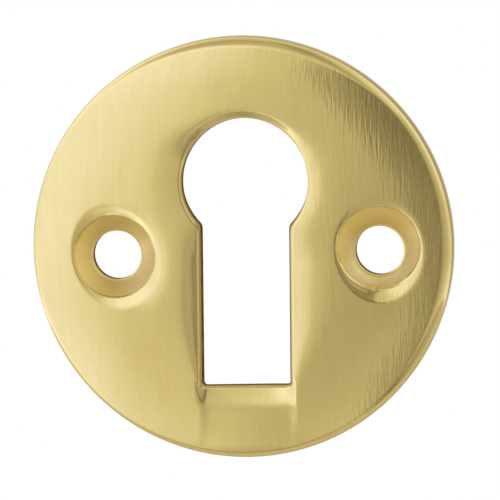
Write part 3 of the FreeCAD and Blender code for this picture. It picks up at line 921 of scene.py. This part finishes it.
satin = bpy.data.materials.new("satin_brass")
satin.use_nodes = True
tree = satin.node_tree
shader = tree.nodes["Principled BSDF"]
marks_group = node(tree, "ShaderNodeGroup", node_tree=grain)
marks_group.inputs["Length"].default_value = GRAIN_LENGTH
turned = node(tree, "ShaderNodeAttribute", attribute_name="turned").outputs["Fac"]
colour = blend(tree, marks_group.outputs["Shade"], BRASS_DARK, BRASS)
colour = blend(tree, math_node(tree, "MULTIPLY", marks_group.outputs["Stain"], STAIN_SHARE), colour, STAINED)
colour = blend(tree, turned, colour, CONE_BRASS)
# the edge attribute carries painted shade, mixed in as a dark brown
edge = node(tree, "ShaderNodeAttribute", attribute_name="edge").outputs["Fac"]
colour = blend(tree, edge, colour, PAINTED_EDGE_SHADE)
join(tree, colour, shader.inputs["Base Color"])
rough = between(tree, marks_group.outputs["Shade"], 0.0, 1.0, *ROUGHNESS)
rough = math_node(tree, "ADD", rough, math_node(tree, "MULTIPLY", turned, TURNED_ROUGHNESS))
join(tree, rough, shader.inputs["Roughness"])
place_on_plate = node(tree, "ShaderNodeSeparateXYZ")
join(tree, node(tree, "ShaderNodeTexCoord").outputs["Object"], place_on_plate.inputs[0])
bite = between(tree, place_on_plate.outputs["X"], *BITE_PLACES, *BITE)
scratch(tree, shader, math_node(tree, "MULTIPLY", marks_group.outputs["Height"], bite))
shader.inputs["Metallic"].default_value = 1.0
shader.inputs["Specular Tint"].default_value = EDGE_TINT
plate.data.materials.append(satin)
print("nodes of the satin brass:", len(tree.nodes))

# %% [markdown]
# Sheared brass.
# The punch tore the sheet and the drill left the bores raw, so these walls are browner and rougher than
# the face. They get a material of their own, with the same grain drawn shorter.

# %% Sheared brass
SHEARED_BRASS = (0.24, 0.16, 0.07, 1)
SHEARED_DARK = (0.13, 0.08, 0.035, 1)
SHEARED_TINT = (0.45, 0.33, 0.18, 1)
SHEARED_LENGTH = 2.0
SHEARED_ROUGHNESS = 0.5
sheared = bpy.data.materials.new("sheared_brass")
sheared.use_nodes = True
tree = sheared.node_tree
shader = tree.nodes["Principled BSDF"]
marks_group = node(tree, "ShaderNodeGroup", node_tree=grain)
marks_group.inputs["Length"].default_value = SHEARED_LENGTH
colour = blend(tree, marks_group.outputs["Shade"], SHEARED_DARK, SHEARED_BRASS)
join(tree, colour, shader.inputs["Base Color"])
shader.inputs["Metallic"].default_value = 1.0
shader.inputs["Specular Tint"].default_value = SHEARED_TINT
shader.inputs["Roughness"].default_value = SHEARED_ROUGHNESS
scratch(tree, shader, marks_group.outputs["Height"])
plate.data.materials.append(sheared)
print("materials on the plate:", [material.name for material in plate.data.materials])

# %% [markdown]
# The camera.
# The photograph was taken from far away, a little from the right and from above. A long lens at a
# fixed distance keeps its scale in one number, the millimetres to a pixel.

# %% Camera
SHARE = 0.07602
VIEW_DISTANCE = 400.0
AZIMUTH = math.radians(8)
ELEVATION = math.radians(6)
ROLL = math.radians(1.53)
FRAME_PIXELS = 500
SENSOR = 36
# where the frame's origin lies in the photograph, in pixels from its upper left
ORIGIN_AT = (245.17, 245.24)
AIM_RIGHT = (FRAME_PIXELS / 2 - ORIGIN_AT[0]) * SHARE
AIM_UP = -(FRAME_PIXELS / 2 - ORIGIN_AT[1]) * SHARE


def direction(azimuth, elevation):
    """The direction turned from the front towards the right by the azimuth, and raised by the elevation."""
    flat = math.cos(elevation)
    return Vector((math.sin(azimuth) * flat, -math.cos(azimuth) * flat, math.sin(elevation)))


towards = direction(AZIMUTH, ELEVATION)
right = Vector((math.cos(AZIMUTH), math.sin(AZIMUTH), 0))
up = towards.cross(right)
camera_right = right * math.cos(ROLL) - up * math.sin(ROLL)
camera_up = right * math.sin(ROLL) + up * math.cos(ROLL)
camera_data = bpy.data.cameras.new("camera")
camera = bpy.data.objects.new("camera", camera_data)
bpy.context.scene.collection.objects.link(camera)
camera_data.sensor_width = SENSOR
camera_data.lens = SENSOR * VIEW_DISTANCE / (FRAME_PIXELS * SHARE)
camera_data.clip_start = 0.01
camera_data.clip_end = 10
place_at = (camera_right * AIM_RIGHT + camera_up * AIM_UP + towards * VIEW_DISTANCE) * MM
turn = Matrix((camera_right, camera_up, towards)).transposed().to_4x4()
camera.matrix_world = Matrix.Translation(place_at) @ turn
bpy.context.scene.camera = camera
print("camera lens:", round(camera_data.lens, 1), "mm")

# %% [markdown]
# The studio.
# Satin brass shows little of its own: nearly all that is seen is the room in it. The photographed plate
# stood in a bright room, brightest at the upper left and falling off to the right, with a dark slitted screen at
# the upper right and dark spots overhead. A world whose brightness depends on the direction says this most
# simply, and lights every side of the plate.

# %% The studio's tables
LIGHT_TURN = math.radians(24)
SHADE_TURN = math.radians(23)
LIGHT = (
    # degrees towards the upper left of the plate's own axis, and brightness
    (-180, 0.90), (-90, 0.85), (-60, 0.74), (-20, 0.67), (-13, 0.60), (-8, 0.52), (-4, 0.49), (-2, 0.50),
    (-0.5, 0.53), (1.5, 0.60), (4.9, 0.655), (8.5, 0.705), (9.7, 0.75), (11.3, 0.815), (12.3, 0.865),
    (13.5, 0.895), (14.9, 0.93), (16.1, 0.965), (18, 1.00), (22, 1.05), (60, 1.0), (180, 0.9),
)
SHADE = (
    # degrees towards the upper right, and the share of the light that is left
    (-180, 1.0), (2.4, 1.0), (3.6, 0.80), (4.7, 0.42), (5.7, 0.70), (6.6, 0.38), (7.6, 0.66), (8.6, 0.36),
    (9.8, 0.60), (11.3, 0.46), (14, 0.62), (34, 0.76), (60, 0.82), (91, 0.94), (111, 1.0), (180, 1.0),
)
SCREEN_SHIFT = (
    # degrees up, and how many degrees the dark screen's edge lies further left there
    (-90, 0.8), (-30, 0.8), (-24, 9.3), (-20, 9.0), (-16.3, 6.6), (-12.6, 3.4), (-9.4, 1.8), (-5, 0.8),
    (-1.5, 0.0), (5, 2.2), (8, 2.6), (90, 2.6),
)
SCREEN_TOP = (
    # degrees over the screen's upper edge, which rises to the right, and how much of the screen there is
    (-90, 1.0), (8.5, 1.0), (11, 0.0), (90, 0.0),
)
HEIGHTS = (
    # degrees up, and the share of the light that is left
    (-90, 0.80), (-27, 0.82), (-23.6, 0.80), (-22.3, 1.28), (-20, 1.24), (-18, 1.16), (-16, 1.12),
    (-13, 1.05), (-10, 0.98), (-6, 1.0), (3, 0.99), (5.5, 0.985), (7.5, 1.03), (12, 1.07), (22, 1.14),
    (60, 1.25), (90, 1.2),
)
SCREEN_RISE = 0.45
LAMP = {"azimuth": 90, "elevation": 22, "inner": 8, "outer": 40, "strength": 0.08}
DUSK = {"azimuth": -15, "elevation": 55, "inner": 10, "outer": 45, "strength": 0.55}
CEILING = {"azimuth": 180, "elevation": 84, "inner": 10, "outer": 48, "strength": 0.36}
TINTS = (
    # brightness, and the colour of light that bright
    (0.0, (1.0, 0.90, 0.70)),
    (0.3, (1.0, 0.915, 0.725)),
    (0.5, (1.0, 0.95, 0.765)),
    (0.72, (1.0, 0.96, 0.79)),
    (0.85, (1.0, 0.985, 0.92)),
    (1.0, (1.0, 1.015, 1.18)),
)
BRIGHTEST = 1.25
FULL_TURN = 360.0
print("brightness of the light:", min(share for _, share in LIGHT), "to", max(share for _, share in LIGHT))

# %% [markdown]
# Ramps and spots.
# Each table becomes a colour ramp over an angle: so bright this far to the side. The spots are soft
# discs. Small helpers turn both into nodes, so the world's own cell stays short.

# %% Helpers for the studio
scene = bpy.context.scene
scene.view_settings.view_transform = "Standard"
world = bpy.data.worlds.new("studio")
scene.world = world
world.use_nodes = True
tree = world.node_tree
tree.nodes.clear()


def turned_to(azimuth, elevation, turn):
    """The angle of a direction along a line that leans by turn from the azimuth's own line."""
    flat = math_node(tree, "MULTIPLY", azimuth, math.cos(turn))
    return math_node(tree, "MULTIPLY_ADD", elevation, math.sin(turn), flat)


def ramp_over(position, stops):
    """A colour ramp read at a position, with a position and a colour for each stop."""
    ramp = node(tree, "ShaderNodeValToRGB")
    join(tree, position, ramp.inputs[0])
    elements = ramp.color_ramp.elements
    while len(elements) < len(stops):
        elements.new(1.0)
    for element, (stop, colour) in zip(elements, stops):
        element.position = stop
        element.color = (*colour, 1)
    return ramp.outputs["Color"]


def steps(angle, table):
    """A grey ramp over an angle, from a table of degrees and brightness."""
    position = math_node(tree, "MULTIPLY_ADD", angle, math.degrees(1) / FULL_TURN, 0.5)
    return ramp_over(position, [(degrees / FULL_TURN + 0.5, (value,) * 3) for degrees, value in table])


def tinted(value, table):
    """A ramp that gives the colour of the light for its brightness, times the brightness."""
    position = math_node(tree, "DIVIDE", value, BRIGHTEST)
    colour = ramp_over(position, [(brightness / BRIGHTEST, tint) for brightness, tint in table])
    return blend(tree, 1.0, colour, value, "MULTIPLY")


def lobe(spot):
    """A soft round spot: its strength inside the inner angle, and nought outside the outer one."""
    azimuth, elevation = math.radians(spot["azimuth"]), math.radians(spot["elevation"])
    nearness = node(tree, "ShaderNodeVectorMath", operation="DOT_PRODUCT")
    join(tree, coordinate.outputs["Generated"], nearness.inputs[0])
    nearness.inputs[1].default_value = direction(azimuth, elevation)
    apart = math_node(tree, "ARCCOSINE", nearness.outputs["Value"])
    outer, inner = math.radians(spot["outer"]), math.radians(spot["inner"])
    return between(tree, apart, outer, inner, 0.0, spot["strength"])


coordinate = node(tree, "ShaderNodeTexCoord")
print("spots in the studio:", LAMP, DUSK, CEILING)

# %% [markdown]
# The world.
# The light's table is cut by the screen, shared out by height and dimmed by the dark spots. Its
# brightness gives its colour. The camera sees plain white, and reflections see the studio.

# %% The world as a studio
split = node(tree, "ShaderNodeSeparateXYZ")
join(tree, coordinate.outputs["Generated"], split.inputs[0])
forward = math_node(tree, "MULTIPLY", split.outputs["Y"], -1.0)
azimuth = math_node(tree, "ARCTAN2", split.outputs["X"], forward)
elevation = math_node(tree, "ARCSINE", split.outputs["Z"])
light_angle = turned_to(math_node(tree, "MULTIPLY", azimuth, -1.0), elevation, LIGHT_TURN)
shade_angle = turned_to(azimuth, elevation, SHADE_TURN)
shift = steps(elevation, SCREEN_SHIFT)
shade_angle = math_node(tree, "MULTIPLY_ADD", shift, math.radians(1), shade_angle)
over_screen = math_node(tree, "MULTIPLY_ADD", azimuth, -SCREEN_RISE, elevation)
screen = blend(tree, steps(over_screen, SCREEN_TOP), (1, 1, 1, 1), steps(shade_angle, SHADE))
room = math_node(tree, "MULTIPLY", steps(light_angle, LIGHT), screen)
room = math_node(tree, "MULTIPLY", room, steps(elevation, HEIGHTS))
for dark_lobe in (DUSK, CEILING):
    room = math_node(tree, "MULTIPLY", room, math_node(tree, "SUBTRACT", 1.0, lobe(dark_lobe)))
room = math_node(tree, "ADD", room, lobe(LAMP))
studio = node(tree, "ShaderNodeBackground")
join(tree, tinted(room, TINTS), studio.inputs["Color"])
white = node(tree, "ShaderNodeBackground")
white.inputs["Color"].default_value = (1, 1, 1, 1)
path = node(tree, "ShaderNodeLightPath")
mix = node(tree, "ShaderNodeMixShader")
output = node(tree, "ShaderNodeOutputWorld")
join(tree, path.outputs["Is Camera Ray"], mix.inputs[0])
join(tree, studio.outputs[0], mix.inputs[1])
join(tree, white.outputs[0], mix.inputs[2])
join(tree, mix.outputs[0], output.inputs["Surface"])
print("nodes of the studio:", len(tree.nodes))

# %% [markdown]
# The floor.
# The photograph shows no ground. A plain pale disc below the plate catches its shadow in the other
# views, just under the photograph's frame.

# %% The floor
FLOOR_RADIUS = 34.0
FLOOR_HEIGHT = -28.0
FLOOR_BACK = 12.0
FLOOR_POINTS = 96
PAPER = (0.80, 0.73, 0.59, 1)
PAPER_ROUGHNESS = 0.9
floor_turn = np.linspace(0, 2 * math.pi, FLOOR_POINTS, endpoint=False)
floor_ring = np.stack([np.cos(floor_turn), np.sin(floor_turn), np.zeros(FLOOR_POINTS)], axis=1) * FLOOR_RADIUS
floor_ring = floor_ring + (0.0, FLOOR_BACK, FLOOR_HEIGHT)
floor_mesh = bpy.data.meshes.new("studio_floor")
floor_mesh.from_pydata(floor_ring * MM, [], [list(range(FLOOR_POINTS))])
floor_mesh.update()
floor = bpy.data.objects.new("studio_floor", floor_mesh)
scene.collection.objects.link(floor)
paper = bpy.data.materials.new("pale_paper")
paper.use_nodes = True
shader = paper.node_tree.nodes["Principled BSDF"]
shader.inputs["Base Color"].default_value = PAPER
shader.inputs["Roughness"].default_value = PAPER_ROUGHNESS
floor_mesh.materials.append(paper)
print("floor at:", FLOOR_HEIGHT, "mm")
